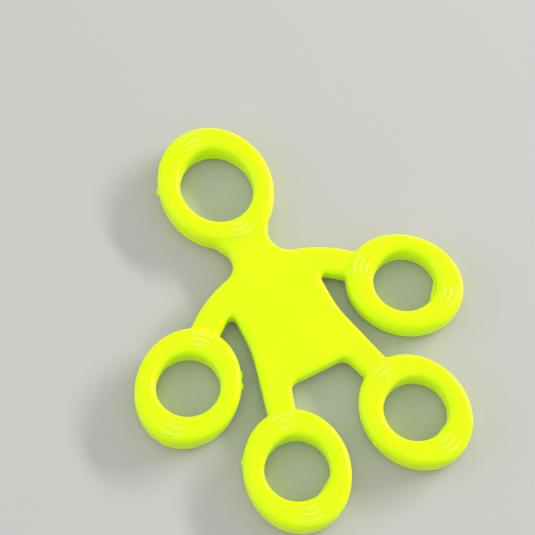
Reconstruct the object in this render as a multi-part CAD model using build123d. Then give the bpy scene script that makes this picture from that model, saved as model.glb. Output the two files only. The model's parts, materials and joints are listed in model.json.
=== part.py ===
from build123d import *
from collections import namedtuple
import os

# A finger exerciser: one soft silicone moulding, with five finger loops round a thin palm web.
# Millimetres, +Z up. The origin is on the table, under the middle of the outline.
# +Y runs along the mirror line to the thumb loop. The loops stand on the table and the
# web joins them at mid height. Each zone of the moulding that moves on its own is a node.

# Driving dimensions
loop_height = 8.3
loop_edge_radius = 1.6
middle_height = loop_height / 2
web_thickness = 6.0
web_edge_radius = 1.2
armpit_radius = 1.5
crotch_radius = 3.0

rib_width = 0.6
rib_height = 0.3
rib_fan_half_angle = 26.5

# A loop's own frame: its origin is the middle of its finger hole, and +X points away from the
# palm. heading turns that frame in the row frame. Its neck runs from neck_root to neck_end,
# both measured from the origin back towards the palm, and is no wider than neck_room.
Loop = namedtuple(
    "Loop",
    "finger x y heading hole_along hole_across half_length half_width shift"
    " neck_root neck_end neck_room rib_apex rib_radii",
)
finger_size = dict(
    hole_along=9.2,
    hole_across=9.2,
    half_length=17.3,
    half_width=14.85,
    shift=0.0,
    neck_end=17.5,
    neck_room=13.0,
    rib_apex=9.0,
    rib_radii=(2.8, 4.6, 6.4),
)
thumb = Loop(
    finger="thumb",
    x=0.0,
    y=42.18,
    heading=90.0,
    hole_along=12.1,
    hole_across=10.7,
    half_length=19.6,
    half_width=16.75,
    shift=0.6,
    neck_root=26.6,
    neck_end=19.3,
    neck_room=20.0,
    rib_apex=10.0,
    rib_radii=(4.3, 6.1, 8.0),
)
index = Loop("index", 35.09, -10.0, -46.8, neck_root=21.9, **finger_size)
middle = Loop("middle", 18.85, -45.18, -78.2, neck_root=23.3, **finger_size)


def mirrored(loop, finger):
    """The same loop on the other side of the mirror line."""
    return loop._replace(finger=finger, x=-loop.x, heading=180.0 - loop.heading)


loops = [thumb, index, middle, mirrored(middle, "ring_finger"), mirrored(index, "little")]


def oval(along, across):
    """A round or oval face, long along X."""
    return Circle(along) if along == across else Ellipse(along, across)


def place(loop):
    """Where a loop's own frame stands in the row frame."""
    return Location((loop.x, loop.y, 0), (0, 0, loop.heading))


def loop_hole(loop):
    """The finger hole as a plug, taller than the loop."""
    return extrude(oval(loop.hole_along, loop.hole_across), middle_height + 1, both=True)


def loop_band(loop):
    """The thick oval band round one finger hole, with rounded edges, in its own frame."""
    outside = Pos(loop.shift, 0) * oval(loop.half_length, loop.half_width)
    band = extrude(outside - oval(loop.hole_along, loop.hole_across), loop_height)
    curved = band.edges().filter_by(GeomType.LINE, reverse=True)
    return fillet(curved, loop_edge_radius)


def slab(loop, near, far):
    """A box across the neck between two distances from the hole's middle, in its own frame."""
    length = near - far
    return Pos(-(near + far) / 2, 0, middle_height) * Box(length, loop.neck_room, loop_height)


def half_web_outline():
    """The right half of the web, up to inside the walls of its three loops."""
    neck_top, neck_side, neck_foot = (8.0, 24.05), (6.5, 20.0), (10.6, 14.1)
    shoulder, arm_top = (19.0, 10.75), (26.0, 5.9)
    armpit = (13.94, 4.61)
    waist, hip, leg_top = (13.94, -4.0), (14.19, -8.0), (14.96, -12.0)
    crotch = (8.78, -22.2)
    edges = [
        Polyline((0, 26), (8.6, 26), neck_top),
        ThreePointArc(neck_top, neck_side, neck_foot),
        ThreePointArc(neck_foot, shoulder, arm_top),
        Polyline(arm_top, (28.0, 4.0), (22.5, -1.8), armpit, waist),
        ThreePointArc(waist, hip, leg_top),
        Polyline(leg_top, (19.71, -31.0), (11.9, -31.5), crotch, (0, crotch[1]), (0, 26)),
    ]
    half = make_face(edges)
    half = fillet(half.vertices().sort_by_distance((*armpit, 0))[0], armpit_radius)
    return fillet(half.vertices().sort_by_distance((*crotch, 0))[0], crotch_radius)


def web():
    """The whole thin web at mid height, with rounded edges."""
    half = half_web_outline()
    outline = half + mirror(half, Plane.YZ)
    sheet = extrude(Pos(0, 0, middle_height - web_thickness / 2) * outline, web_thickness)
    rims = sheet.faces().filter_by(Axis.Z).edges()
    return fillet(rims, web_edge_radius)


def grip_ribs(loop, band):
    """Two fans of three short raised arcs on the loop's top, at both ends of its long axis."""
    prints = []
    for side in (0, 180):
        for radius in loop.rib_radii:
            arc = CenterArc((0, 0), radius, -rib_fan_half_angle, 2 * rib_fan_half_angle)
            slot = SlotArc(arc, rib_width)
            prints.append(Rot(0, 0, side) * Pos(loop.rib_apex, 0, middle_height) * slot)
    raised = Pos(0, 0, rib_height) * band
    ribs = [(raised & extrude(face, loop_height)) - band for face in prints]
    return Compound(children=[solid for rib in ribs for solid in rib.solids()])


def write(node, shape):
    shape.label = node
    export_step(shape, f"parts/{node}.step")


os.makedirs("parts", exist_ok=True)
whole_web = web()
palm = whole_web
for loop in loops:
    spot = place(loop)
    band = loop_band(loop)
    neck = whole_web & (spot * slab(loop, loop.neck_root, loop.neck_end))
    stub = whole_web & (spot * slab(loop, loop.neck_end, 0))
    palm = palm - spot * slab(loop, loop.neck_root, 0)
    write(f"{loop.finger}_neck", neck)
    write(f"{loop.finger}_loop", spot * band + (stub - spot * loop_hole(loop)))
    write(f"{loop.finger}_ribs", spot * grip_ribs(loop, band))
write("palm_web", palm)
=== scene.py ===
import json
import math

import bmesh
import bpy
import numpy as np
from mathutils import Matrix, Vector


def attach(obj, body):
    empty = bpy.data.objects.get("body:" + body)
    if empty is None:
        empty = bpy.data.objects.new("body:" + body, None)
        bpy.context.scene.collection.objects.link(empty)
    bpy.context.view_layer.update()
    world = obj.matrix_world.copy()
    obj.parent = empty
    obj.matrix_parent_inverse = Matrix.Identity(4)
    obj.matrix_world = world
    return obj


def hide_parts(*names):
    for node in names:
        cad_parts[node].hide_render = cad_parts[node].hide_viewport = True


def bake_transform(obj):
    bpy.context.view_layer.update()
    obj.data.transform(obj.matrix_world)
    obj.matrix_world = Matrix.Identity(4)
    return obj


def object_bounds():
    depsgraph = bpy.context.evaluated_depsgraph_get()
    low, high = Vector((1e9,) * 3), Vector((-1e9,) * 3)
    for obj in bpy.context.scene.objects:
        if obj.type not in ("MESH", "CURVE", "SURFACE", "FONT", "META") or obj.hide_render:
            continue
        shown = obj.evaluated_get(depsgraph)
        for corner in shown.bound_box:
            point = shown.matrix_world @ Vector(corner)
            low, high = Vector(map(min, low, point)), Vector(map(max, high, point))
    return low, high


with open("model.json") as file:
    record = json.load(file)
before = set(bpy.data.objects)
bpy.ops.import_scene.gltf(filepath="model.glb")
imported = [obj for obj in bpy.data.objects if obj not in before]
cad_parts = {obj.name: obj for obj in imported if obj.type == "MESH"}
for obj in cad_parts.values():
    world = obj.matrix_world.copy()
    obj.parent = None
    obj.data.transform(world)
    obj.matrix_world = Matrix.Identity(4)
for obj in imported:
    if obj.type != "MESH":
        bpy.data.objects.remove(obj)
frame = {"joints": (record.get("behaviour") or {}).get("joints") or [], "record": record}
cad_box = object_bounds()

# A finger exerciser: one silicone moulding of five oval finger loops round a thin palm web.
# The script works in millimetres and writes meshes in metres. A loop's own frame has its
# origin in the middle of the finger hole, u pointing away from the palm, and v across.

METRE = 0.001
MIDDLE = 4.15  # mid height of the loops and the web
FINGERS = ("thumb", "index", "middle", "ring_finger", "little")

# ---------------------------------------------------------------- sizes of the moulding
loop_edge_outer = 1.55
loop_edge_inner = 1.3
loop_draft = 0.03
loop_crown = 0.25
web_thickness = 6.0
web_edge = 1.6
armpit_radius = 1.5
crotch_radius = 3.0
junction_blend = 1.2
grid_step = 0.4
zone_margin = 1.0
rib_half_width = 0.4
rib_height = 0.16
rib_sunk = 0.25
rib_half_fan = 26.5

# A neck bends between its two distances from the hole. The side necks' zone starts further into
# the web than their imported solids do, so that a full bend doesn't fold through itself.
SIDE = dict(hole=(9.2, 9.2), outer=(17.3, 14.85), shift=0.0, neck=(23.0, 17.5), room=13.0,
            rib_apex=9.0, rib_radii=(2.8, 4.6, 6.4))
SIZES = {
    "thumb": dict(hole=(12.1, 10.7), outer=(19.6, 16.75), shift=0.6, neck=(26.6, 19.3), room=20.0,
                  rib_apex=10.0, rib_radii=(4.3, 6.1, 8.0)),
    "side": SIDE,
    "lower": {**SIDE, "neck": (23.3, 17.5)},
}
KIND = {"thumb": "thumb", "index": "side", "little": "side", "middle": "lower", "ring_finger": "lower"}


class Loop:
    """One finger loop: its sizes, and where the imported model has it."""

    def __init__(self, finger):
        self.finger = finger
        self.__dict__.update(SIZES[KIND[finger]])
        joint = next(j for j in frame["joints"] if j["name"] == f"{finger}_stretch")
        self.along = np.array(joint["axis"][:2])
        self.across = np.array([-self.along[1], self.along[0]])
        self.centre = self.find_centre()

    def find_centre(self):
        record = frame["record"]
        for mount in record["mounts"]:
            if mount["name"] == f"{self.finger}_hole":
                return np.array(mount["pos_m"][:2]) / METRE
        low, high = np.array(record["physics"]["openings"][0]["box_m"])
        return (low + high)[:2] / 2 / METRE

    def local(self, x, y):
        dx, dy = x - self.centre[0], y - self.centre[1]
        return dx * self.along[0] + dy * self.along[1], dx * self.across[0] + dy * self.across[1]

    def world(self, u, v):
        return (
            self.centre[0] + u * self.along[0] + v * self.across[0],
            self.centre[1] + u * self.along[1] + v * self.across[1],
        )

    def point(self, u):
        """A point on the neck's line at mid height, in metres."""
        x, y = self.world(u, 0.0)
        return (x * METRE, y * METRE, MIDDLE * METRE)


loops = [Loop(finger) for finger in FINGERS]


# ---------------------------------------------------------------- the web's outline
def arc_through(a, b, c, count=14):
    """Points on the round arc from a through b to c."""
    (ax, ay), (bx, by), (cx, cy) = a, b, c
    d = 2 * (ax * (by - cy) + bx * (cy - ay) + cx * (ay - by))
    sa, sb, sc = ax * ax + ay * ay, bx * bx + by * by, cx * cx + cy * cy
    ox = (sa * (by - cy) + sb * (cy - ay) + sc * (ay - by)) / d
    oy = (sa * (cx - bx) + sb * (ax - cx) + sc * (bx - ax)) / d
    radius = math.hypot(ax - ox, ay - oy)
    t0, t1, t2 = (math.atan2(y - oy, x - ox) for x, y in (a, b, c))
    turn = 2 * math.pi
    if (t1 - t0) % turn < (t2 - t0) % turn:
        sweep = (t2 - t0) % turn
    else:
        sweep = -((t0 - t2) % turn)
    return [(ox + radius * math.cos(t0 + sweep * k / count),
             oy + radius * math.sin(t0 + sweep * k / count)) for k in range(count + 1)]


def round_corner(before, corner, after, radius):
    """Points on the arc that rounds a corner between two straight edges."""
    corner = np.array(corner)
    one = np.array(before) - corner
    two = np.array(after) - corner
    one, two = one / np.linalg.norm(one), two / np.linalg.norm(two)
    half = math.acos(float(one @ two)) / 2
    bisector = (one + two) / np.linalg.norm(one + two)
    reach = radius / math.tan(half)
    inner = corner + bisector * (radius / math.sin(half) - radius)
    return arc_through(tuple(corner + one * reach), tuple(inner), tuple(corner + two * reach))


def half_outline():
    """The right half of the web's outline, up to inside the loops' walls."""
    neck_top, neck_side, neck_foot = (8.0, 24.05), (6.5, 20.0), (10.6, 14.1)
    shoulder, arm_top = (19.0, 10.75), (26.0, 5.9)
    arm_inside, arm_under, armpit = (28.0, 4.0), (22.5, -1.8), (13.94, 4.61)
    waist, hip, leg_top = (13.94, -4.0), (14.19, -8.0), (14.96, -12.0)
    leg_outside, leg_inside, crotch = (19.71, -31.0), (11.9, -31.5), (8.78, -22.2)
    half = [(0.0, 26.0), (8.6, 26.0)]
    half += arc_through(neck_top, neck_side, neck_foot)
    half += arc_through(neck_foot, shoulder, arm_top)[1:]
    half += [arm_inside, arm_under]
    half += round_corner(arm_under, armpit, waist, armpit_radius)
    half += arc_through(waist, hip, leg_top)
    half += [leg_outside, leg_inside]
    crotch_middle = (0.0, crotch[1])
    half += round_corner(leg_inside, crotch, crotch_middle, crotch_radius)
    return np.array(half + [crotch_middle])


OUTLINE = half_outline()


def outline_distance(x, y):
    """Signed distance to the web's outline, negative inside. Both halves are alike."""
    px, py = np.abs(x).ravel(), y.ravel()
    inside = np.zeros(px.size, bool)
    near2 = np.full(px.size, np.inf)
    for (ax, ay), (bx, by) in zip(OUTLINE, OUTLINE[1:]):
        run_x, run_y = bx - ax, by - ay
        dx, dy = px - ax, py - ay
        t = np.clip((dx * run_x + dy * run_y) / (run_x**2 + run_y**2), 0, 1)
        near2 = np.minimum(near2, (dx - t * run_x) ** 2 + (dy - t * run_y) ** 2)
        if ay != by:
            crossing = ax + dy * run_x / run_y
            inside ^= ((ay > py) != (by > py)) & (px < crossing)
    near = np.sqrt(near2)
    return np.where(inside, -near, near).reshape(x.shape)


# ---------------------------------------------------------------- the solid as distances
def oval_distance(u, v, half_u, half_v):
    """Signed distance to an oval, exact at its rim."""
    k = np.maximum(np.hypot(u / half_u, v / half_v), 1e-6)
    slope = np.maximum(np.hypot(u / half_u**2, v / half_v**2), 1e-9)
    return k * (k - 1) / slope


def rounded(side, z, half_height, radius):
    """A wall where side is 0 and flat faces at both heights, joined by round edges."""
    qs, qz = side + radius, np.abs(z - MIDDLE) - half_height + radius
    return np.minimum(np.maximum(qs, qz), 0) + np.hypot(np.maximum(qs, 0), np.maximum(qz, 0)) - radius


def soft_max(a, b, width):
    h = np.maximum(width - np.abs(a - b), 0) / width
    return np.maximum(a, b) + h * h * width / 4


def soft_min(a, b, width):
    return -soft_max(-a, -b, width)


def loop_distance(loop, x, y, z):
    u, v = loop.local(x, y)
    draft = loop_draft * np.abs(z - MIDDLE)
    outside = oval_distance(u - loop.shift, v, *loop.outer)
    inside = -oval_distance(u, v, *loop.hole)
    off_middle = np.clip((outside - inside) / np.minimum(outside + inside, -1.0), -1, 1)
    half_height = MIDDLE - loop_crown * off_middle**2
    return np.maximum(
        rounded(outside + draft, z, half_height, loop_edge_outer),
        rounded(inside + draft, z, half_height, loop_edge_inner),
    )


def body_distance(x, y, z):
    """Signed distance to the whole moulding, negative inside the silicone."""
    found = rounded(outline_distance(x, y), z, web_thickness / 2, web_edge)
    for loop in loops:
        found = soft_min(found, loop_distance(loop, x, y, z), junction_blend)
    return found


def slope_of(points):
    """Distance and its gradient at each point, by small steps along a tetrahedron's corners."""
    step = 0.02
    corners = np.array([(1, -1, -1), (-1, -1, 1), (-1, 1, -1), (1, 1, 1)], float)
    values = [body_distance(*(points + step * c).T) for c in corners]
    gradient = sum(c * v[:, None] for c, v in zip(corners, values)) / (4 * step)
    return sum(values) / 4, gradient


def settle(points, rounds=3):
    """Moves points onto the surface."""
    for _ in range(rounds):
        value, gradient = slope_of(points)
        points = points - gradient * (value / (gradient**2).sum(1))[:, None]
    return points


# ---------------------------------------------------------------- the surface as a quad net
def surface_net(field):
    """Quads round the zero level of a field on a unit grid, one vertex per crossed cell."""
    shape = np.array(field.shape)
    cells = tuple(shape - 1)
    total, count = np.zeros(cells + (3,)), np.zeros(cells)
    for axis in range(3):
        one = np.eye(3, dtype=int)[axis]
        for p in (0, 1):
            for q in (0, 1):
                near = np.insert([p, q], axis, 0)
                a = field[tuple(slice(s, s + n) for s, n in zip(near, cells))]
                b = field[tuple(slice(s, s + n) for s, n in zip(near + one, cells))]
                crossed = (a < 0) != (b < 0)
                t = np.where(crossed, a / np.where(crossed, a - b, 1), 0)
                total += crossed[..., None] * (near + t[..., None] * one)
                count += crossed
    used = count > 0
    number = np.full(cells, -1)
    number[used] = np.arange(used.sum())
    points = np.argwhere(used) + total[used] / count[used][:, None]
    quads = []
    inside = field < 0
    for axis in range(3):
        b, c = np.eye(3, dtype=int)[(axis + 1) % 3], np.eye(3, dtype=int)[(axis + 2) % 3]
        low = tuple(slice(0 if k == axis else 1, -1) for k in range(3))
        high = tuple(slice(1, None) if k == axis else slice(1, -1) for k in range(3))
        for flip, there in ((False, inside[low] & ~inside[high]), (True, ~inside[low] & inside[high])):
            at = np.argwhere(there) + b + c
            ring = [number[tuple((at - s).T)] for s in (0 * b, b, b + c, c)]
            quads.append(np.stack(ring[::-1] if flip else ring, 1))
    return points, np.concatenate(quads)


def relax(points, quads, rounds=3):
    """Evens out the net by moving each vertex towards its neighbours and back onto the surface."""
    edges = np.concatenate([quads[:, [k, (k + 1) % 4]] for k in range(4)])
    for _ in range(rounds):
        total, count = np.zeros_like(points), np.zeros(len(points))
        np.add.at(total, edges[:, 0], points[edges[:, 1]])
        np.add.at(count, edges[:, 0], 1)
        points = settle(points + 0.5 * (total / count[:, None] - points), 1)
    return points


def whole_surface():
    """The moulding's surface as one net of quads."""
    low = np.array(cad_box[0]) / METRE - 1.5
    high = np.array(cad_box[1]) / METRE + 1.5
    axes = [np.arange(a, b, grid_step) for a, b in zip(low, high)]
    x, y = np.meshgrid(axes[0], axes[1], indexing="ij")
    field = rounded(outline_distance(x, y)[..., None], axes[2], web_thickness / 2, web_edge)
    for loop in loops:
        field = soft_min(field, loop_distance(loop, x[..., None], y[..., None], axes[2]), junction_blend)
    points, quads = surface_net(field)
    points = settle(points * grid_step + low)
    return relax(points, quads), quads


# ---------------------------------------------------------------- cutting it into its zones
def in_loop_zone(loop, x, y, margin):
    u, v = loop.local(x, y)
    in_stub = (np.abs(v) < loop.room / 2) & (u > -loop.neck[1] - margin) & (u < 0)
    return (oval_distance(u - loop.shift, v, *loop.outer) < margin) | in_stub


def in_neck_zone(loop, x, y, margin):
    u, v = loop.local(x, y)
    return (np.abs(v) < loop.room / 2) & (u > -loop.neck[0] - margin) & (u < -loop.neck[1] + margin)


def in_palm_zone(x, y, margin):
    free = np.ones(x.shape, bool)
    for loop in loops:
        u, v = loop.local(x, y)
        beyond = (np.abs(v) < loop.room / 2) & (u > -loop.neck[0] + margin) & (u < 0)
        free &= ~beyond & ~in_loop_zone(loop, x, y, 0.5)
    return free


def part_of_net(points, quads, keep):
    """The quads whose four corners are all kept, and their points."""
    chosen = quads[keep[quads].all(1)]
    used = np.unique(chosen)
    renumber = np.full(len(points), -1)
    renumber[used] = np.arange(len(used))
    return points[used], renumber[chosen]


def cut(bm, loop, distance, keep_palm_side):
    """Cuts the neck across at a distance from the hole's middle."""
    centre = np.array([*loop.world(-distance, 0.0), MIDDLE])
    outward = np.array([*loop.along, 0.0])

    def near_neck(face):
        x, y, _ = face.calc_center_median()
        u, v = loop.local(x, y)
        return abs(v) < loop.room / 2 + 0.5 and abs(u + distance) < 2.5

    faces = [f for f in bm.faces if near_neck(f)]
    edges = list({e for f in faces for e in f.edges})
    verts = list({v for f in faces for v in f.verts})
    bmesh.ops.bisect_plane(
        bm,
        geom=faces + edges + verts,
        plane_co=centre,
        plane_no=outward,
        clear_outer=keep_palm_side,
        clear_inner=not keep_palm_side,
    )


def cap_cuts(bm):
    """Closes the cut ends with flat faces whose rims are sharp."""
    rims = [e for e in bm.edges if e.is_boundary]
    bmesh.ops.holes_fill(bm, edges=rims, sides=0)
    for edge in rims:
        edge.smooth = False


def moulded_piece(name, points, quads, cuts):
    """A closed, smooth piece of the moulding between its cuts."""
    bm = bmesh.new()
    verts = [bm.verts.new(p) for p in points]
    for quad in quads:
        bm.faces.new([verts[k] for k in quad])
    for loop, distance, keep_palm_side in cuts:
        cut(bm, loop, distance, keep_palm_side)
    loose = [v for v in bm.verts if not v.link_faces]
    bmesh.ops.delete(bm, geom=loose, context="VERTS")
    cap_cuts(bm)
    bmesh.ops.recalc_face_normals(bm, faces=bm.faces)
    for face in bm.faces:
        face.smooth = True
    return finished_mesh(name, bm)


def finished_mesh(name, bm):
    bmesh.ops.scale(bm, vec=(METRE,) * 3, verts=bm.verts)
    mesh = bpy.data.meshes.new(name)
    bm.to_mesh(mesh)
    bm.free()
    piece = bpy.data.objects.new(name, mesh)
    bpy.context.scene.collection.objects.link(piece)
    return piece


# ---------------------------------------------------------------- grip ribs and flash
def top_height(x, y):
    """The height of the top surface over each point."""
    low, high = np.full(x.shape, MIDDLE), np.full(x.shape, 2 * MIDDLE + 0.5)
    for _ in range(24):
        half = (low + high) / 2
        solid = body_distance(x, y, half) < 0
        low, high = np.where(solid, half, low), np.where(solid, high, half)
    return low


def tube_of_rows(bm, rows):
    """A closed skin over a run of closed cross-sections."""
    rings = [[bm.verts.new(p) for p in row] for row in rows]
    count = len(rings[0])
    for one, two in zip(rings, rings[1:]):
        for k in range(count):
            bm.faces.new([one[k], one[(k + 1) % count], two[(k + 1) % count], two[k]])
    bm.faces.new(rings[0][::-1])
    bm.faces.new(rings[-1])


def grip_ribs(loop):
    """Two fans of short raised arcs with rounded ends on the loop's top."""
    half_fan = math.radians(rib_half_fan)
    bm = bmesh.new()
    across = np.linspace(-1, 1, 13)
    for side in (1, -1):
        for radius in loop.rib_radii:
            end = half_fan + rib_half_width / radius
            angles = end * np.sin(np.linspace(-math.pi / 2, math.pi / 2, 41))
            past = np.maximum(np.abs(angles) - half_fan, 0) * radius / rib_half_width
            taper = np.sqrt(np.maximum(1 - past**2, 0.0016))
            offsets = rib_half_width * across[None, :] * taper[:, None]
            reach = radius + offsets
            u = side * (loop.rib_apex + reach * np.cos(angles)[:, None])
            v = side * reach * np.sin(angles)[:, None]
            x, y = loop.world(u, v)
            crown = (1 + np.cos(math.pi * across)) / 2 * taper[:, None]
            top = top_height(x, y)
            upper = np.stack([x, y, top + rib_height * crown - 0.01], 2)
            lower = np.stack([x, y, top - rib_sunk], 2)[:, ::-1]
            tube_of_rows(bm, np.concatenate([upper, lower], 1))
    return smooth_piece(f"{loop.finger}_grip_ribs", bm)


def smooth_piece(name, bm):
    bmesh.ops.remove_doubles(bm, verts=bm.verts, dist=1e-5)
    bmesh.ops.recalc_face_normals(bm, faces=bm.faces)
    for face in bm.faces:
        face.smooth = True
    return finished_mesh(name, bm)


# Torn flash left at the parting line: finger, rim, middle of the stretch in degrees round
# the hole from u, its half length in degrees, and how far it stands out in millimetres.
FLASH = [
    ("index", "hole", 7, 25, 0.9),
    ("ring_finger", "hole", 42, 24, 0.55),
    ("middle", "hole", 15, 14, 0.45),
    ("thumb", "hole", -9, 8, 0.3),
    ("little", "outside", 118, 5, 0.6),
    ("little", "outside", 106, 4, 0.55),
    ("little", "outside", -6, 6, 0.35),
    ("thumb", "outside", 71, 4, 0.5),
    ("ring_finger", "outside", -112, 5, 0.35),
    ("middle", "outside", -90, 4, 0.3),
]


def ragged(count, seed):
    """A smooth uneven run of values about 1, the same for each seed."""
    noise = np.random.default_rng(seed).normal(size=count)
    coarse, fine = np.hanning(25), np.hanning(11)
    swells = np.convolve(noise, coarse / coarse.sum(), mode="same")
    nicks = np.convolve(noise, fine / fine.sum(), mode="same")
    return 1 + 0.35 * swells + 0.08 * nicks


def rim_path(loop, rim, angles):
    """Points on the loop's rim at mid height, and the directions out of the silicone."""
    if rim == "hole":
        (a, b), shift, way = loop.hole, 0.0, -1
    else:
        (a, b), shift, way = loop.outer, loop.shift, 1
    u, v = shift + a * np.cos(angles), b * np.sin(angles)
    nu, nv = way * np.cos(angles) / a, way * np.sin(angles) / b
    size = np.hypot(nu, nv)
    return u, v, nu / size, nv / size


def parting_line(loop):
    """The thin ridge where the mould halves met, round both rims, with torn flash on it."""
    ridge, thick, sunk = 0.09, 0.13, 0.3
    bm = bmesh.new()
    count = 420
    angles = np.linspace(0, 2 * math.pi, count, endpoint=False)
    for order, rim in enumerate(("hole", "outside")):
        stand = np.full(count, ridge)
        for index, (finger, where, middle, half, out) in enumerate(FLASH):
            if (finger, where) == (loop.finger, rim):
                gap = (np.degrees(angles) - middle + 180) % 360 - 180
                bump = np.cos(np.clip(gap / half, -1, 1) * math.pi / 2)
                stand = stand + out * bump * np.clip(ragged(count, index), 0.35, 1.5)
        u, v, nu, nv = rim_path(loop, rim, angles)
        rows = []
        for reach, rise in ((-sunk, 0.0), (0.0, thick), (1.0, 0.03), (1.0, -0.03), (0.0, -thick)):
            out = stand if reach == 1.0 else reach
            x, y = loop.world(u + nu * out, v + nv * out)
            rows.append(np.stack([x, y, np.full(count, MIDDLE + rise)], 1))
        rings = [[bm.verts.new(p) for p in row] for row in rows]
        for one, two in zip(rings, rings[1:] + rings[:1]):
            for k in range(count):
                bm.faces.new([one[k], one[(k + 1) % count], two[(k + 1) % count], two[k]])
    return smooth_piece(f"{loop.finger}_parting_line", bm)


# ---------------------------------------------------------------- material
def node(tree, kind, **settings):
    """A shader node with its inputs set, where From_Min means the input From Min."""
    made = tree.nodes.new(kind)
    for key, value in settings.items():
        made.inputs[key.replace("_", " ")].default_value = value
    return made


def silicone(name, dull, bright):
    """Fluorescent yellow-green moulded silicone: satin, faintly mottled, with fine mould texture."""
    material = bpy.data.materials.new(name)
    material.use_nodes = True
    tree = material.node_tree
    shader = tree.nodes["Principled BSDF"]
    place = node(tree, "ShaderNodeTexCoord")
    cloud = node(tree, "ShaderNodeTexNoise", Scale=70.0, Detail=3.0, Roughness=0.55)
    grain = node(tree, "ShaderNodeTexNoise", Scale=1600.0, Detail=4.0, Roughness=0.6)
    tint = node(tree, "ShaderNodeValToRGB")
    tint.color_ramp.elements[0].position = 0.3
    tint.color_ramp.elements[0].color = dull
    tint.color_ramp.elements[1].position = 0.7
    tint.color_ramp.elements[1].color = bright
    gloss = node(tree, "ShaderNodeMapRange", From_Min=0.3, From_Max=0.7, To_Min=0.16, To_Max=0.25)
    bump = node(tree, "ShaderNodeBump", Strength=0.25, Distance=0.00006)
    link = tree.links.new
    for noise in (cloud, grain):
        link(place.outputs["Object"], noise.inputs["Vector"])
    link(cloud.outputs["Fac"], tint.inputs["Fac"])
    link(cloud.outputs["Fac"], gloss.inputs["Value"])
    link(grain.outputs["Fac"], bump.inputs["Height"])
    link(tint.outputs["Color"], shader.inputs["Base Color"])
    link(gloss.outputs["Result"], shader.inputs["Roughness"])
    link(bump.outputs["Normal"], shader.inputs["Normal"])
    shader.inputs["IOR"].default_value = 1.41
    shader.inputs["Specular IOR Level"].default_value = 0.26
    shader.inputs["Subsurface Weight"].default_value = 0.35
    shader.inputs["Subsurface Radius"].default_value = (1.0, 1.0, 0.1)
    shader.inputs["Subsurface Scale"].default_value = 0.0005
    return material


def floor_material():
    material = bpy.data.materials.new("pale_floor")
    material.use_nodes = True
    shader = material.node_tree.nodes["Principled BSDF"]
    shader.inputs["Base Color"].default_value = (0.50, 0.485, 0.465, 1)
    shader.inputs["Roughness"].default_value = 0.9
    shader.inputs["Specular IOR Level"].default_value = 0.1
    return material


# ---------------------------------------------------------------- pieces
def add_pieces():
    skin = silicone("silicone_fluorescent", (0.67, 0.96, 0.0, 1), (0.72, 0.98, 0.0, 1))
    # The grip ribs get a paler tint than the rest: a painted highlight, standing in for the light their
    # crests catch.
    rib_highlight_skin = silicone("silicone_painted_rib_highlight", (0.71, 0.96, 0.05, 1), (0.77, 0.98, 0.08, 1))
    points, quads = whole_surface()
    x, y = points[:, 0], points[:, 1]
    made = []
    palm_net = part_of_net(points, quads, in_palm_zone(x, y, zone_margin))
    palm = moulded_piece("palm_moulding", *palm_net, [(loop, loop.neck[0], True) for loop in loops])
    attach(palm, "palm")
    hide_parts("palm_web")
    made.append(palm)
    for loop in loops:
        name = loop.finger
        neck_net = part_of_net(points, quads, in_neck_zone(loop, x, y, zone_margin))
        cuts = [(loop, loop.neck[1], True), (loop, loop.neck[0], False)]
        neck = moulded_piece(f"{name}_neck_moulding", *neck_net, cuts)
        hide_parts(f"{name}_neck")
        loop.point(-loop.neck[0])
        loop.point(-loop.neck[1])
        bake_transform(neck)
        loop_net = part_of_net(points, quads, in_loop_zone(loop, x, y, zone_margin))
        band = moulded_piece(f"{name}_loop_moulding", *loop_net, [(loop, loop.neck[1], False)])
        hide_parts(f"{name}_loop")
        ribs = grip_ribs(loop)
        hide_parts(f"{name}_ribs")
        line = parting_line(loop)
        for piece in (band, ribs, line):
            loop.point(-loop.neck[1])
            loop.point(0)
            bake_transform(piece)
        made += [neck, band, ribs, line]
    # The ribs take the paler material, whose tint is a painted highlight.
    for piece in made:
        piece.data.materials.append(rib_highlight_skin if "_ribs" in piece.name else skin)


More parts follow.
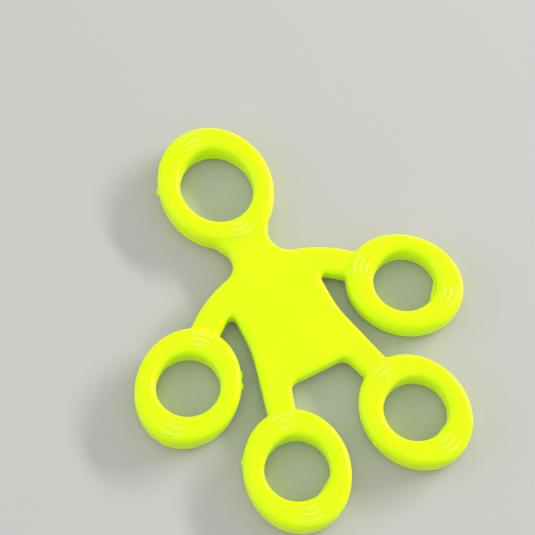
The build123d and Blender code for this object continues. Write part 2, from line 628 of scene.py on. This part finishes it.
# ---------------------------------------------------------------- stage, light and camera
def add_floor():
    bpy.ops.mesh.primitive_plane_add(size=6.0, location=(0, 0, 0))
    floor = bpy.context.object
    floor.name = "floor"
    floor.data.materials.append(floor_material())


def aim_at_object(thing, place):
    thing.location = place
    thing.rotation_mode = "QUATERNION"
    thing.rotation_quaternion = (-Vector(place)).to_track_quat("-Z", "Y")


def add_light(name, place, size, energy, colour):
    data = bpy.data.lights.new(name, "AREA")
    data.shape = "RECTANGLE"
    data.size, data.size_y = size
    data.energy = energy
    data.color = colour
    lamp = bpy.data.objects.new(name, data)
    bpy.context.scene.collection.objects.link(lamp)
    aim_at_object(lamp, place)


def add_world():
    world = bpy.data.worlds.new("soft_room")
    world.use_nodes = True
    background = world.node_tree.nodes["Background"]
    background.inputs["Color"].default_value = (0.95, 0.97, 1.0, 1)
    background.inputs["Strength"].default_value = 0.87
    bpy.context.scene.world = world


def add_camera():
    """A high view from the middle loop's side, with a small roll."""
    azimuth, elevation, roll = (math.radians(d) for d in (-31.33, 66.85, -4.29))
    distance, target = 0.4295, Vector((0.00293, 0.0144, 0.0))
    right = Vector((math.cos(azimuth), math.sin(azimuth), 0))
    ahead = Vector((-math.sin(azimuth), math.cos(azimuth), 0))
    back = -ahead * math.cos(elevation) + Vector((0, 0, math.sin(elevation)))
    up = ahead * math.sin(elevation) + Vector((0, 0, math.cos(elevation)))
    cam_right = math.cos(roll) * right - math.sin(roll) * up
    cam_up = math.sin(roll) * right + math.cos(roll) * up
    turn = Matrix((cam_right, cam_up, back)).transposed()
    data = bpy.data.cameras.new("camera")
    data.sensor_width = 36.0
    data.lens = 97.5701
    data.clip_start = 0.01
    camera = bpy.data.objects.new("camera", data)
    camera.matrix_world = Matrix.Translation(target + back * distance) @ turn.to_4x4()
    bpy.context.scene.collection.objects.link(camera)
    bpy.context.scene.camera = camera


add_camera()
add_pieces()
add_floor()
add_world()
add_light("window", (1.44, 0.10, 0.62), (1.0, 0.13), 22.0, (1.0, 0.98, 0.95))
add_light("fill", (-1.36, 0.60, 0.60), (1.6, 1.2), 7.2, (1.0, 0.99, 0.97))
bpy.context.scene.view_settings.view_transform = "Standard"
